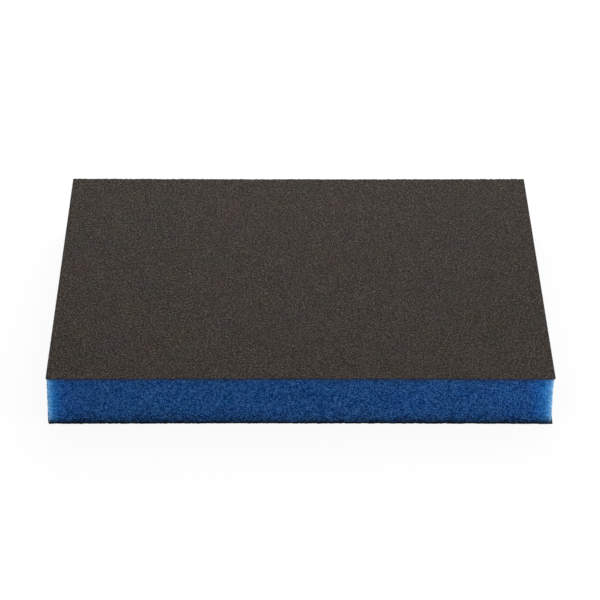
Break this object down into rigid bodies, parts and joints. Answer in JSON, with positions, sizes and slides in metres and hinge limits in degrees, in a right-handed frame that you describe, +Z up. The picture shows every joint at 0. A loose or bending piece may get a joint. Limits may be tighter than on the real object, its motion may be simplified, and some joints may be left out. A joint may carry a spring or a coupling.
{
  "type": "sanding sponge",
  "caption": "Flat rectangular sanding sponge: a slab of open-cell foam with an abrasive coat bonded to its top and underside, held in the hand to smooth wood, filler or paint.",
  "frame": {"origin": "centre of the underside, where the sponge rests on a surface", "axes": "+X along the length, +Y along the width, +Z up through the thickness"},
  "size_m": [0.12, 0.098, 0.013],
  "materials": {
    "foam": "matte",
    "abrasive": "matte"
  },
  "bodies": {
    "root": {"foam_core": "foam", "top_abrasive": "abrasive", "bottom_abrasive": "abrasive"}
  },
  "joints": []
}
